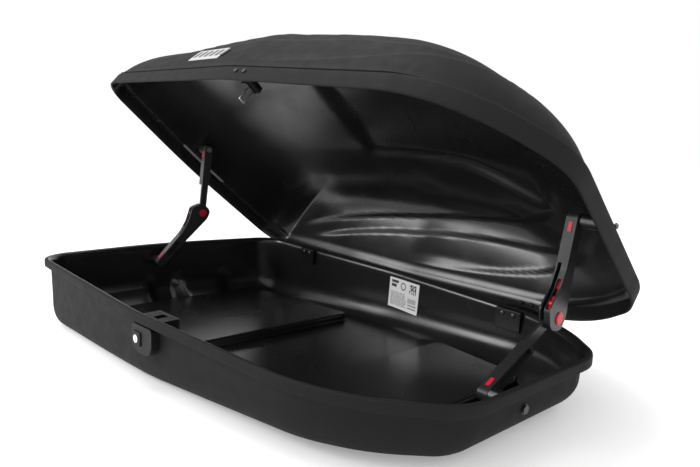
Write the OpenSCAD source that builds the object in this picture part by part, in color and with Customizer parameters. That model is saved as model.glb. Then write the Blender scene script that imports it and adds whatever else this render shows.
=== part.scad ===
// Roof cargo box for a car: a deep tray and a side-opening lid on two hinges, held up by two
// folding arms with sprung catches, and closed by a key lock in the middle of the opening side.
// +X runs along the box towards the car's nose, -Y is the opening side, +Z is up.
// The underside is level. The rim of the tray falls towards the nose, so everything that
// belongs to the rim, the lid, the arms, the hinges and the lock, is laid out in a frame of its
// own whose XY plane is the top of the rim. The lid is drawn standing open.

/* [Box] */
// length of the tray's rim behind the middle of the box
tray_rear = 627; // [560:1:680]
// length of the tray's rim ahead of the middle of the box
tray_nose = 719; // [660:1:780]
// half the width of the rim at the rear corners
half_w_rear = 386; // [360:1:400]
// half the width of the rim at the middle
half_w_mid = 378; // [360:1:390]
// half the width of the rim at the shoulders, where the sides turn in to the nose
half_w_shoulder = 322; // [300:1:335]
// half the width of the flat front of the nose
half_w_nose = 181; // [150:1:200]
// thickness of the formed plastic
wall = 4; // [3:0.5:5]
// height of the lid's roof above the rim at its highest
lid_height = 256; // [230:1:280]
// height of the lid's roof above the rim at the rear end
lid_height_rear = 158; // [140:1:175]
// height of the lid's roof above the rim at the nose
lid_height_nose = 140; // [125:1:160]

/* [Floor] */
// height of the two raised platforms' tops above the underside
platform_top = 23; // [21:1:27]
// depth from the rim to the platforms at the middle of the box
depth_mid = 130; // [125:1:140]
// fall of the rim towards the nose, in degrees
rim_fall = 3.58; // [3:0.01:4]
// diameter of the holes for the clamp bolts
clamp_hole_d = 7; // [6:0.5:8]
// distance from one clamp hole to the next
clamp_pitch = 34; // [32:1:36]

/* [Opening] */
// angle that the lid stands open
lid_angle = 39.8; // [36:0.1:42]
// length of each half of the rear arm, from pivot to pivot
arm_len = 200; // [198:1:204]
// how far a catch draws back
catch_travel = 5; // [3:0.5:5]

/* [Hidden] */

big = 400;
black = [0.07, 0.07, 0.075];
gloss_black = [0.03, 0.03, 0.032];
red = [0.85, 0.08, 0.12];
steel = [0.62, 0.63, 0.65];
paper_white = [0.93, 0.93, 0.93];

// ---------------------------------------------------------------- outline of the rim
// Half of an outline, rear to nose, as [x, y, corner radius]; the other half is its mirror.
function half_outline(rear, nose, w0, w1, w2, w3) = [
    [-rear, 0, 1150],
    [-rear + 49, -w0, 92],
    [50, -w1, 950],
    [nose - 150, -w2, 368],
    [nose, -w3, 111],
    [nose, 0, 0]];

// steps on each rounded corner, and on the straight after it
arc_steps = [4, 8, 5, 8, 8, 0];
run_steps = [2, 8, 5, 2, 2, 0];

function unit(v) = v / norm(v);
function flat(v) = [v[0], v[1]];

// Points on the fillet of corner b between its neighbours a and c.
function fillet(a, b, c, r, n) =
    let(d1 = unit(a - b), d2 = unit(c - b),
        half = acos(max(-1, min(1, d1 * d2))) / 2,
        centre = b + unit(d1 + d2) * r / sin(half),
        start = b + d1 * r / tan(half),
        finish = b + d2 * r / tan(half),
        a0 = atan2(start[1] - centre[1], start[0] - centre[0]),
        a1 = atan2(finish[1] - centre[1], finish[0] - centre[0]),
        turn = a1 - a0 - 360 * round((a1 - a0) / 360))
    [for (k = [0:n]) centre + r * [cos(a0 + turn * k / n), sin(a0 + turn * k / n)]];

// The second half of the middle rear corner's fillet, so that the half outline starts at y = 0.
function rear_arc(half, n) =
    let(all = fillet(flat(half[1]) - [0, 2 * half[1][1]], flat(half[0]), flat(half[1]),
        half[0][2], 2 * n))
    [for (k = [n:2 * n]) all[k]];

function corner_arc(half, i) =
    i == 0 ? rear_arc(half, arc_steps[0])
    : i == len(half) - 1 ? [flat(half[i])]
    : fillet(flat(half[i - 1]), flat(half[i]), flat(half[i + 1]), half[i][2], arc_steps[i]);

function between(a, b, n) = n < 2 ? [] : [for (k = [1:n - 1]) a + (b - a) * k / n];

function half_points(half) = [
    for (i = [0:len(half) - 1])
        let(arc = corner_arc(half, i),
            next = i < len(half) - 1 ? corner_arc(half, i + 1)[0] : arc[0])
        each concat(arc, i < len(half) - 1
            ? between(arc[len(arc) - 1], next, run_steps[i]) : [])];

function full_outline(half) =
    let(h = half_points(half), n = len(h))
    concat(h, [for (k = [n - 2:-1:1]) [h[k][0], -h[k][1]]]);

// Unit normals pointing out of a closed outline that runs anticlockwise.
function outward(o) =
    let(n = len(o))
    [for (i = [0:n - 1])
        let(t = unit(o[(i + 1) % n] - o[(i + n - 1) % n])) [t[1], -t[0]]];

rim = full_outline(half_outline(tray_rear, tray_nose, half_w_rear, half_w_mid,
    half_w_shoulder, half_w_nose));
rim_out = outward(rim);
lid_over_end = 30;
lid_over_side = 5.5;
lid_rim = full_outline(half_outline(tray_rear + lid_over_end, tray_nose + lid_over_end,
    half_w_rear + lid_over_side, half_w_mid + lid_over_side,
    half_w_shoulder + lid_over_side + 8, half_w_nose + lid_over_side));
lid_out = outward(lid_rim);
count = len(rim);

function ease(t) = let(c = max(0, min(1, t))) c * c * (3 - 2 * c);

// ---------------------------------------------------------------- the two frames
fall = tan(rim_fall);
rim_height = platform_top + depth_mid;
module in_rim_frame()
    translate([0, 0, rim_height])
        rotate([0, rim_fall, 0]) children();

hinge = [0, 358, -34];
hinge_skew = -1.72;
module swing_about_hinge(angle)
    translate(hinge)
        rotate([0, 0, hinge_skew])
            rotate([angle, 0, 0])
                rotate([0, 0, -hinge_skew])
                    translate(-hinge) children();
module on_lid()
    in_rim_frame() swing_about_hinge(-lid_angle) children();

// The same swing for a point: turn it by `angle` about the skewed hinge line.
function swung(p, angle) =
    let(u = [cos(hinge_skew), sin(hinge_skew), 0], q = p - hinge)
    hinge + q * cos(angle) + cross(u, q) * sin(angle) + u * (u * q) * (1 - cos(angle));

// Height, in the rim frame, of a level that lies `up` above the feet at lengthwise place x.
function level(x, up) = -(rim_height - up) / cos(rim_fall) + fall * x;

// ---------------------------------------------------------------- shells
// Side faces between rings of equal count, then the two ends.
function shell_faces(rings, n) = concat(
    [for (r = [0:rings - 2]) for (i = [0:n - 1])
        each let(a = r * n + i, b = r * n + (i + 1) % n)
            [[a, b + n, b], [a, a + n, b + n]]],
    [[for (i = [0:n - 1]) i]],
    [[for (i = [n - 1:-1:0]) (rings - 1) * n + i]]);

floor_top = wall;
turn_rear = 30;
turn_nose = 78;
function bottom_inset(x) =
    turn_rear + (turn_nose - turn_rear) * pow(max(0, min(1, (x + 250) / 800)), 1.8);

// A ring below the rim, and a ring at a height above the underside.
function upper_ring(inset, z) =
    [for (i = [0:count - 1])
        let(p = rim[i] - rim_out[i] * inset) [p[0], p[1], z]];
function lower_ring(inset, height, turn) =
    [for (i = [0:count - 1])
        let(p = rim[i] - rim_out[i] * (inset + turn * bottom_inset(rim[i][0])))
        [p[0], p[1], level(p[0], height)]];

rim_lip = 15;
curve_up = 62;
curve_steps = 5;
function curve_ring(k, under) =
    let(a = 90 * k / curve_steps)
    lower_ring(rim_lip + 3 + under + 6 * (1 - sin(a)),
        under + (curve_up - under) * (1 - cos(a)), 1 - sin(a));
floor_inset = rim_lip + wall + 9;
tray_rings = [
    // outside, from the bottom up: the bottom curve is a quarter of an ellipse
    lower_ring(floor_inset, 0, 1),
    for (k = [0:curve_steps]) curve_ring(k, 0),
    upper_ring(rim_lip, -22),
    upper_ring(rim_lip - 1, -5),
    upper_ring(4.5, -5),
    upper_ring(4, -18),
    upper_ring(0, -18),
    upper_ring(0, -2.5),
    upper_ring(2.5, 0),
    upper_ring(9, 0),
    upper_ring(12, -1.5),
    upper_ring(rim_lip - 1 + wall, -7),
    upper_ring(rim_lip + wall, -22),
    for (k = [curve_steps:-1:0]) curve_ring(k, wall)];

// The rings close on themselves, so the wall is one endless band round the floor.
module tray_wall()
    in_rim_frame()
        polyhedron([for (r = tray_rings) each r],
            [for (r = [0:len(tray_rings) - 1]) for (i = [0:count - 1])
                each let(s = (r + 1) % len(tray_rings), j = (i + 1) % count,
                    a = r * count + i, b = r * count + j, c = s * count + i, d = s * count + j)
                    [[a, d, b], [a, c, d]]],
            convexity = 6);

// The flat of the floor fills the band; it is drawn a hair short of it.
floor_gap = 0.2;
module floor_outline()
    polygon([for (i = [0:count - 1])
        let(p = rim[i] - rim_out[i] * (floor_inset + floor_gap + bottom_inset(rim[i][0])))
        [p[0] * cos(rim_fall) + level(p[0], wall / 2) * sin(rim_fall), p[1]]]);

// Lid, in the closed position: a skirt, a ledge and a dome.
skirt_low = -9;
skirt_top = 27;
ledge_z = 30;
// how far the dome's foot stands in from the rim of the lid, at the ends and at the sides
dome_in_rear = 36;
dome_in_nose = 16;
dome_in_side = 5;
roof_peak_x = 60;
function roof(x) = x < roof_peak_x
    ? lid_height - (lid_height - lid_height_rear) * pow((roof_peak_x - x) / (tray_rear + roof_peak_x), 2)
    : lid_height - (lid_height - lid_height_nose) * pow((x - roof_peak_x) / (tray_nose - roof_peak_x), 2.2);

function dome_inset(p, n) =
    let(end = abs(n[0]))
    dome_in_side + ((p[0] < 0 ? dome_in_rear : dome_in_nose) - dome_in_side) * ease(end * 1.15);

dome_foot = [for (i = [0:count - 1]) lid_rim[i] - lid_out[i] * dome_inset(lid_rim[i], lid_out[i])];
dome_centre = [30, 0];
dome_power = 7;
dome_root = 1.5;
function dome_height(r) = pow(1 - pow(r, dome_power), 1 / dome_root);
function dome_ring(r, thick) =
    [for (i = [0:count - 1])
        let(q = dome_foot[i] - lid_out[i] * thick,
            p = dome_centre + (q - dome_centre) * r)
        [p[0], p[1], ledge_z - thick + (roof(p[0]) - ledge_z) * dome_height(r)]];
function lid_ring(inset, z) =
    [for (i = [0:count - 1])
        let(p = lid_rim[i] - lid_out[i] * inset) [p[0], p[1], z]];
function ledge_ring(thick) =
    [for (i = [0:count - 1])
        let(p = dome_foot[i] + lid_out[i] * (3 - thick)) [p[0], p[1], ledge_z - thick]];
dome_steps = [0.985, 0.96, 0.93, 0.89, 0.84, 0.78, 0.7, 0.6, 0.45, 0.25];
cap_r = 0.02;
function cap_ring(thick) =
    [for (i = [0:count - 1])
        let(p = dome_centre + (dome_foot[i] - dome_centre) * cap_r)
        [p[0], p[1], roof(dome_centre[0]) - thick]];
lid_rings = [
    cap_ring(0),
    for (k = [len(dome_steps) - 1:-1:0]) dome_ring(dome_steps[k], 0),
    ledge_ring(0),
    lid_ring(2.5, skirt_top + 1.5),
    lid_ring(0.4, skirt_top - 2),
    lid_ring(0, skirt_low + 1),
    lid_ring(1, skirt_low),
    lid_ring(wall - 0.6, skirt_low),
    lid_ring(wall, skirt_top - wall),
    ledge_ring(wall),
    for (r = dome_steps) dome_ring(r, wall),
    cap_ring(wall)];

module lid_shell()
    polyhedron([for (k = [len(lid_rings) - 1:-1:0]) each lid_rings[k]],
        shell_faces(len(lid_rings), count), convexity = 8);

// y of an outline's hinge side at lengthwise place x
function side_y(o, x) =
    [for (i = [0:len(o) - 1])
        let(a = o[i], b = o[(i + 1) % len(o)])
        if (a[1] > 0 && b[1] >= 0 && a[0] > x && b[0] <= x)
            a[1] + (b[1] - a[1]) * (x - a[0]) / (b[0] - a[0])][0];

// ---------------------------------------------------------------- small helpers
// A closed outline of rounded corners given as [x, y, radius].
function rounded(c, n = 6) =
    let(m = len(c))
    [for (i = [0:m - 1])
        each fillet(flat(c[(i + m - 1) % m]), flat(c[i]), flat(c[(i + 1) % m]), c[i][2], n)];
module plate(corners, thick, n = 6)
    linear_extrude(thick) polygon(rounded(corners, n));
module round_box(size, r)
    plate([[-size[0] / 2, -size[1] / 2, r], [size[0] / 2, -size[1] / 2, r],
        [size[0] / 2, size[1] / 2, r], [-size[0] / 2, size[1] / 2, r]], size[2]);
// A cylinder along X, from x = a to x = b.
module rod_x(r, a, b)
    translate([a, 0, 0]) rotate([0, 90, 0]) cylinder(r = r, h = b - a, $fn = 48);
// A cylinder along Y, from y = a to y = b.
module rod_y(r, a, b)
    translate([0, a, 0]) rotate([-90, 0, 0]) cylinder(r = r, h = b - a, $fn = 48);
// A low domed head on Y, standing on y = a and pointing to +Y.
module dome_y(r, h, a)
    translate([0, a, 0])
        rotate([-90, 0, 0])
            rotate_extrude($fn = 40)
                polygon(concat([[0, 0], [r, 0], [r, h * 0.35]],
                    [for (k = [1:4]) [r * cos(22.5 * k), h * (0.35 + 0.65 * sin(22.5 * k))]]));

// ---------------------------------------------------------------- tray
rear_platform = [-545, -52];
front_platform = [296, 560];
platform_side_rear = 276;
row_y = 195;
rear_row_x = -302;
front_row_x = 430;
rear_holes = 8;
front_holes = 4;

module platforms() {
    translate([0, 0, floor_top - 1]) {
        plate([[rear_platform[0], -platform_side_rear, 40], [rear_platform[1], -platform_side_rear, 24],
            [rear_platform[1], platform_side_rear, 24], [rear_platform[0], platform_side_rear, 40]],
            platform_top - floor_top + 1);
        plate([[front_platform[0], -258, 20], [front_platform[1], -196, 46],
            [front_platform[1], 196, 46], [front_platform[0], 258, 20]],
            platform_top - floor_top + 1);
    }
}

// The platforms are hollow underneath between the two rows of holes.
hollow_half = 150;
hollow_side = 14;
module hollows()
    for (p = [rear_platform, front_platform])
        translate([p[0] + hollow_side, -hollow_half, -1])
            cube([p[1] - p[0] - 2 * hollow_side, 2 * hollow_half, platform_top - wall + 1]);

module clamp_holes() {
    for (side = [-1, 1]) {
        for (k = [0:rear_holes - 1])
            translate([rear_row_x + clamp_pitch * k, side * row_y, -1])
                cylinder(d = clamp_hole_d, h = platform_top + 2, $fn = 32);
        for (k = [0:front_holes - 1])
            translate([front_row_x + clamp_pitch * k, side * row_y, -1])
                cylinder(d = clamp_hole_d, h = platform_top + 2, $fn = 32);
    }
}

// Low feet at the corners keep the underside off the ground.
foot_drop = 7;
foot_root = 1.5;
module feet()
    for (side = [-1, 1]) {
        translate([-490, side * 200, -foot_drop]) round_box([80, 110, foot_drop + foot_root], 20);
        translate([548, side * 110, -foot_drop]) round_box([70, 90, foot_drop + foot_root], 20);
    }

// Hinges: x place along the hinge line, how far the recess floor is from that line, and how far
// out past the recess floor the pad's block reaches.
hinge_rear = [-337, 12, 10];
hinge_front = [455, 38, 13];
pad_half = 33;
pad_low = -48;
pad_top = -2.6;
recess_top = -5.5;
module at_hinge(h)
    translate([h[0], hinge[1] + tan(hinge_skew) * h[0], hinge[2]])
        rotate([0, 0, hinge_skew]) children();
module hinge_pad(h)
    in_rim_frame() at_hinge(h)
        translate([-pad_half, -h[1] - wall, pad_low - hinge[2]])
            cube([2 * pad_half, wall + h[2], pad_top - pad_low]);
module hinge_recess(h)
    in_rim_frame() at_hinge(h)
        translate([-pad_half + wall, -h[1], pad_low - hinge[2] + wall])
            cube([2 * (pad_half - wall), 90, recess_top - pad_low - wall]);

leaf_thick = 2.5;
knuckle_r = 5.5;
pin_r = 2.5;
pin_room = 0.05;
rivet_r = 2.4;
rivet_gap = 28;
tray_rivet_up = 21;
lid_rivet_up = 45;

module rivet_places(up)
    for (s = [-1, 1]) translate([s * rivet_gap / 2, 0, up]) children();

module tray_leaf(h)
    in_rim_frame() at_hinge(h) difference() {
        union() {
            translate([-26, -h[1], -9]) cube([52, leaf_thick, 36]);
            for (s = [-1, 1])
                translate([s * 16.5, 0, 0]) {
                    rod_x(knuckle_r, -7.5, 7.5);
                    translate([-7.5, -h[1], -knuckle_r]) cube([15, h[1], 3]);
                }
        }
        rod_x(pin_r, -40, 40);
        rivet_places(tray_rivet_up) rod_y(rivet_r, -h[1] - 1, -h[1] + leaf_thick + 1);
    }

module tray_rivet_pair(h)
    in_rim_frame() at_hinge(h) rivet_places(tray_rivet_up) {
        rod_y(rivet_r, -h[1] - wall, -h[1] + leaf_thick);
        mirror([0, 1, 0]) dome_y(5.2, 2.6, h[1] + wall);
        rod_y(4.4, -h[1] + leaf_thick, -h[1] + leaf_thick + 1.4);
    }

module hinge_pin(h)
    in_rim_frame() at_hinge(h) {
        rod_x(pin_r, -26, 26);
        rod_x(4.2, -28, -26);
        rod_x(3.4, 26, 27.5);
    }

// How far the outer face of the lid's skirt is from the hinge line.
function skirt_off(h) =
    side_y(lid_rim, h[0]) + 1.6 - (hinge[1] + tan(hinge_skew) * h[0]);

module lid_leaf(h) {
    s = skirt_off(h);
    on_lid() at_hinge(h) difference() {
        union() {
            rod_x(knuckle_r, -8.4, 8.4);
            // strap from the knuckle, under the rim and up outside the skirt
            translate([-8.4, 0, -1.5]) cube([16.8, max(s + leaf_thick, 1), 3]);
            translate([-8.4, s, -1.5]) cube([16.8, leaf_thick, 40]);
            translate([-26, s, 32]) cube([52, leaf_thick, 26]);
        }
        rod_x(pin_r + pin_room, -40, 40);
        rivet_places(lid_rivet_up) rod_y(rivet_r, s - 1, s + leaf_thick + 1);
    }
}

module lid_rivet_pair(h) {
    s = skirt_off(h);
    on_lid() at_hinge(h) rivet_places(lid_rivet_up) {
        rod_y(rivet_r, s - 8, s + leaf_thick);
        dome_y(4.8, 2.4, s + leaf_thick);
        rod_y(4.4, s - 9.4, s - 8);
    }
}

// ---------------------------------------------------------------- arms
arm_wide = 22;
stud_r = 5;
stud_room = 0.08;
// each arm: x of its middle plane, tray pivot [y, z], lid pivot [y, z] in the closed box,
// length of the lower link, length of the upper link, and the side its brackets stand on
rear_arm = [-557, [-45, -47], [-42, 52], arm_len, arm_len, 1];
front_arm = [631, [-20, -50], [77, 85], 216, 182, -1];

function lid_point(arm) =
    let(p = [arm[0], arm[2][0], arm[2][1]], moved = swung(p, -lid_angle))
    [2 * arm[0] - moved[0], p[1], p[2]];
function tray_point(arm) = [arm[0], arm[1][0], arm[1][1]];
function open_point(arm) = let(p = swung(lid_point(arm), -lid_angle)) [p[1], p[2]];
function arm_line(arm) = let(d = open_point(arm) - arm[1]) atan2(d[1], d[0]);
function corner_turn(a, b, c) = acos((a * a + b * b - c * c) / (2 * a * b));
function lower_turn(arm) =
    arm_line(arm) - corner_turn(arm[3], norm(open_point(arm) - arm[1]), arm[4]);
function upper_turn(arm) =
    arm_line(arm) + corner_turn(arm[4], norm(open_point(arm) - arm[1]), arm[3]);

// Put a part drawn in a link's own plane in place: u along the link from its outer pivot, v
// across it and w across the arm. The front arm is the rear arm's parts turned over.
module link_at(y, z, arm, turn)
    in_rim_frame()
        translate([arm[0], y, z])
            rotate([turn, 0, 0])
                rotate([90, 0, 90])
                    rotate([arm[5] > 0 ? 0 : 180, 0, 0]) children();
module lower_place(arm) link_at(arm[1][0], arm[1][1], arm, lower_turn(arm)) children();
module upper_place(arm)
    link_at(open_point(arm)[0], open_point(arm)[1], arm, upper_turn(arm) + 180) children();
// The main link is the rear arm's lower link and the front arm's upper link.
module main_place(arm)
    if (arm[5] > 0) lower_place(arm) children();
    else upper_place(arm) children();
module plain_place(arm)
    if (arm[5] > 0) upper_place(arm) children();
    else lower_place(arm) children();
function main_len(arm) = arm[5] > 0 ? arm[3] : arm[4];
function plain_len(arm) = arm[5] > 0 ? arm[4] : arm[3];

function main_outline(len) = [
    [-13, -12, 11], [60, -13, 150], [len - 85, -18, 100], [len - 4, -24, 26],
    [len + 23, -16, 18], [len + 23, 22, 20], [len - 10, 39, 16],
    [len - 50, 20, 70], [len - 90, 11.5, 70], [-13, 13, 11]];
cam_r = 17;
tongue_r = 13;
// layers across the arm's width
tongue_low = 1.5;
tongue_high = 7.5;
catch_low = -7.8;
catch_high = -0.8;
layer_room = 0.6;
catch_mid = (catch_low + catch_high) / 2;
catch_wide = catch_high - catch_low;
// the catch slides on a line that leans towards the inside of the elbow
catch_back = 66;
catch_side = 4.5;
catch_lean = 21;
catch_span = 62;
catch_nose = 48;
module on_catch_line(len)
    translate([len - catch_back, catch_side, 0]) rotate([0, 0, catch_lean]) children();

module eye(r, w0, w1)
    translate([0, 0, w0]) cylinder(r = r, h = w1 - w0, $fn = 64);

clip_size = [18, 3, 7];
clip_along = 6;
clip_v = 9.5;
module clip_pocket(side)
    translate([clip_along, side > 0 ? clip_v : -clip_v - 10, -clip_size[2] / 2])
        cube([clip_size[0], 10, clip_size[2]]);
module clip_solid(side)
    translate([clip_along, side > 0 ? clip_v : -clip_v - clip_size[1] - 1, -clip_size[2] / 2])
        cube(clip_size + [0, 1, 0]);

shaft_hollow = 80;
module main_link_solid(len) difference() {
    translate([0, 0, -arm_wide / 2]) plate(main_outline(len), arm_wide, 8);
    // room for the other link's tongue
    translate([0, 0, tongue_low - layer_room])
        linear_extrude(tongue_high - tongue_low + 2 * layer_room)
            polygon([[len - 100, -15], [len + 10, -15], [len + 64, 30], [len + 64, 80],
                [len - 100, 80]]);
    translate([len, 0, 0]) eye(cam_r + layer_room, catch_low - layer_room, tongue_low);
    // window for the catch and its nose
    on_catch_line(len) {
        translate([0, -4.6, catch_low - layer_room])
            cube([catch_span, 60, catch_wide + 2 * layer_room]);
        translate([catch_nose - catch_travel - 0.6, -10.5, catch_low - layer_room])
            cube([catch_span - catch_nose + catch_travel + 0.6, 20, catch_wide + 2 * layer_room]);
    }
    // hollow in the shaft, open on the wall's side
    translate([28, -7, -arm_wide / 2 + 3]) cube([shaft_hollow - 28, 14, arm_wide]);
    translate([len, 0, 0]) eye(stud_r, -big, big);
    eye(stud_r + stud_room, -big, big);
    clip_pocket(1);
}

thick_to = 88;
module plain_link_solid(len) difference() {
    union() {
        translate([0, 0, -arm_wide / 2 + 1])
            plate([[-12.5, -12.5, 10], [len - thick_to, -12, 4], [len - thick_to, 12, 4],
                [-12.5, 12.5, 10]], arm_wide - 2);
        translate([len, 0, 0]) {
            eye(tongue_r, tongue_low, tongue_high);
            eye(cam_r, catch_low, tongue_low);
        }
        translate([len - thick_to - 4, -10.5, tongue_low])
            cube([thick_to + 4, 21, tongue_high - tongue_low]);
    }
    // long hollow that makes the link a channel
    translate([28, -7, -arm_wide]) cube([len - thick_to - 36, 14, arm_wide + 5]);
    translate([len, 0, 0]) eye(stud_r + stud_room, -big, big);
    eye(stud_r + stud_room, -big, big);
    clip_pocket(-1);
}

module elbow_pin_solid(len) translate([len, 0, 0]) eye(stud_r, -arm_wide / 2, arm_wide / 2);
button_r = 12;
module elbow_cap_solid(len) translate([len, 0, 0])
    for (s = [0, 1])
        mirror([0, 0, s]) {
            eye(button_r, arm_wide / 2, arm_wide / 2 + 1.6);
            eye(button_r - 2, arm_wide / 2 + 1.6, arm_wide / 2 + 2.6);
        }

// A pin through the lid end of the upper link; it stops short of the lid's bracket.
pin_head = 8;
module lid_pin_solid(arm) {
    half = arm_wide / 2;
    upper_place(arm) {
        eye(stud_r, -half - 0.4, half + 2.4);
        eye(pin_head, half + 0.4, half + 2);
    }
}

// The seat holds the back end of the spring and lets the catch's rod through.
cup_r = 3.3;
rod_r = 1.6;
seat_long = 17;
module catch_seat_solid(len) on_catch_line(len) difference() {
    translate([0.1, -4.5, catch_low]) cube([seat_long, 9.5, catch_wide]);
    translate([0, 0, catch_mid]) {
        rod_x(rod_r + 0.1, 2, 30);
        rod_x(cup_r, 8, 30);
    }
}
spring_from = 13.6;
spring_to = 33;
module catch_solid(len) on_catch_line(len) translate([0, 0, catch_mid]) {
    rod_x(rod_r, 8.5, spring_to + 1);
    translate([spring_to, -3.4, -3.3]) cube([22, 8.4, 6.6]);
    translate([catch_nose, -9, -3.3]) cube([10, 14, 6.6]);
    translate([catch_nose - 1, 4, 0]) eye(5.5, -3.3, 3.3);
}

// Coil spring round the rod: a round wire swept along a helix.
coil_r = 2.5;
wire_r = 0.42;
coil_turns = 6;
coil_steps = 12;
wire_sides = 6;
module catch_spring_solid(len) {
    n = coil_turns * coil_steps;
    length = spring_to - spring_from - 2 * wire_r - 0.1;
    on_catch_line(len) translate([spring_from + wire_r, 0, catch_mid])
        polyhedron([for (k = [0:n]) for (j = [0:wire_sides - 1])
            let(a = 360 * k / coil_steps, b = 360 * j / wire_sides,
                r = coil_r + wire_r * cos(b))
            [length * k / n + wire_r * sin(b), r * cos(a), r * sin(a)]],
            shell_faces(n + 1, wire_sides), convexity = 10);
}

// Brackets: a boss on the end wall between x = wall_x and the link, with a blind bore for its
// bolt. `side` is 1 where the wall stands behind the link and -1 where it stands ahead of it.
boss_r = 14;
bolt_r = 4;
bolt_deep = 9;
module span_x(r, a, b) rod_x(r, min(a, b), max(a, b));
module bracket(wall_x, face, side) difference() {
    span_x(boss_r, wall_x, face);
    span_x(bolt_r, wall_x - side, wall_x + side * bolt_deep);
}
module bracket_stud(face, side) {
    far = side * (arm_wide / 2 + 0.5);
    span_x(stud_r, face, far + side * 2.5);
    span_x(stud_r + 3, far, far + side * 1.8);
}
// A bolt through the wall: `wall_x` is its inner face and `out_x` is where its head sits.
module wall_bolt(wall_x, out_x, side, head) {
    span_x(bolt_r, out_x, wall_x + side * (bolt_deep - 0.5));
    span_x(head + 1.5, out_x - side * 1.5, out_x);
    span_x(head, out_x - side * 4, out_x - side * 1.5);
}
tray_head = 7;
lid_head = 4.5;
tray_wall_rear = [-596.2, -601.8];
tray_wall_front = [692.8, 701.6];
lid_wall_rear = [-591, -607];
lid_wall_front = [673.2, 701.5];
// gap between each lid bracket and its link while the lid is open
lid_gap_rear = 1.2;
lid_gap_front = 6.2;

module tray_bracket(arm, wall) {
    side = arm[5];
    face = -side * (arm_wide / 2 + 0.5);
    in_rim_frame() translate(tray_point(arm)) {
        bracket(wall[0] - arm[0], face, side);
        bracket_stud(face, side);
    }
}
module tray_bolt(arm, wall)
    in_rim_frame() translate(tray_point(arm))
        wall_bolt(wall[0] - arm[0], wall[1] - arm[0], arm[5], tray_head);
module lid_bracket(arm, wall, gap) {
    p = lid_point(arm);
    on_lid() translate(p)
        bracket(wall[0] - p[0], -arm[5] * (arm_wide / 2 + gap), arm[5]);
}
module lid_bolt(arm, wall) {
    p = lid_point(arm);
    on_lid() translate(p) wall_bolt(wall[0] - p[0], wall[1] - p[0], arm[5], lid_head);
}
wall_hole = 4.6;
module bolt_hole(p) translate(p) rod_x(wall_hole, -90, 90);

// ---------------------------------------------------------------- lock
lock_x = 95;
lock_turn = atan((side_y(rim, lock_x - 40) - side_y(rim, lock_x + 40)) / 80);
// a frame on the opening side: x along the rim, y inwards from the rim's edge
module at_lock()
    in_rim_frame() translate([lock_x, -side_y(rim, lock_x), 0]) rotate([0, 0, lock_turn]) children();
// An outline in x and z, thick from y = a to y = b.
module slab_y(corners, a, b, n = 6)
    translate([0, b, 0]) rotate([90, 0, 0]) plate(corners, b - a, n);

housing = [[-37, -75, 24], [37, -75, 24], [37, -20, 8], [-37, -20, 8]];
housing_y = [-1, 14.7];
key_at = [-16, -48];
key_r = 8;
case_x = [-34, 40];
case_y = [22.4, 54];
case_z = [-72, -7];
case_wall = 2.5;
hook_at = [20, -46];
hook_y = [34, 39];
loop_x = 5;
loop_y = [30, 43];
loop_low = -24;

module key_bore(r, a, b) translate([key_at[0], 0, key_at[1]]) rod_y(r, a, b);
module lock_screw_places()
    for (p = [[24, -62], [24, -32]]) translate([p[0], 0, p[1]]) children();
screw_r = 2;

module lock_housing() color(black) at_lock() difference() {
    slab_y(housing, housing_y[0], housing_y[1]);
    key_bore(key_r + 0.06, -9, 40);
    lock_screw_places() rod_y(screw_r, 9, 20);
}
module lock_bezel() color(gloss_black) at_lock() difference() {
    slab_y([[key_at[0] - 14, key_at[1] - 14, 3], [key_at[0] + 14, key_at[1] - 14, 3],
        [key_at[0] + 14, key_at[1] + 14, 3], [key_at[0] - 14, key_at[1] + 14, 3]],
        housing_y[0] - 2.5, housing_y[0]);
    key_bore(key_r + 0.06, -9, 40);
}
module key_cylinder() color(steel) at_lock() difference() {
    union() {
        key_bore(key_r, housing_y[0] - 4, 32);
        key_bore(key_r - 2, 32, 40);
    }
    translate([key_at[0] - 1, housing_y[0] - 5, key_at[1] - 5]) cube([2, 7, 10]);
}
module lock_case() color(black) at_lock() difference() {
    translate([case_x[0], case_y[0], case_z[0]])
        cube([case_x[1] - case_x[0], case_y[1] - case_y[0], case_z[1] - case_z[0]]);
    translate([case_x[0] + case_wall, case_y[0] + case_wall, case_z[0] + case_wall])
        cube([case_x[1] - case_x[0] - 2 * case_wall, case_y[1] - case_y[0],
            case_z[1] - case_z[0] - 2 * case_wall]);
    key_bore(key_r + 1, 0, case_y[0] + 9);
    // slot in the top for the striker's loop
    translate([loop_x - 9, loop_y[0] - 5, -20]) cube([18, loop_y[1] - loop_y[0] + 10, 40]);
    translate([hook_at[0], 0, hook_at[1]]) rod_y(pin_r, 0, case_y[0] + 9);
    lock_screw_places() rod_y(screw_r + 0.4, 20, case_y[0] + 9);
}
module lock_case_cover() color([0.25, 0.25, 0.26]) at_lock() difference() {
    translate([case_x[0], case_y[1], case_z[0]])
        cube([case_x[1] - case_x[0], 3, case_z[1] - case_z[0]]);
    slab_y([[-24, -60, 6], [8, -60, 6], [8, -26, 6], [-24, -26, 6]],
        case_y[1] + 1.5, case_y[1] + 4);
}
module lock_screws() color(steel) at_lock() lock_screw_places() {
    rod_y(screw_r, 10, case_y[0] + case_wall);
    rod_y(4, case_y[0] + case_wall, case_y[0] + case_wall + 2.2);
}
// The hook swings on a pin of its own and its nose passes over the bar of the loop.
module latch_hook() color(steel) at_lock() translate([hook_at[0], 0, hook_at[1]]) {
    rod_y(pin_r - pin_room, case_y[0], hook_y[1] + 4);
    rod_y(7, hook_y[0], hook_y[1]);
    slab_y([[-4, 0, 1], [5, 0, 1], [9, 22, 2], [7, 34, 2], [-2, 34, 2], [-4, 29, 1.2],
        [2, 26, 1.2], [1, 20, 1.2]], hook_y[0], hook_y[1]);
}

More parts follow.
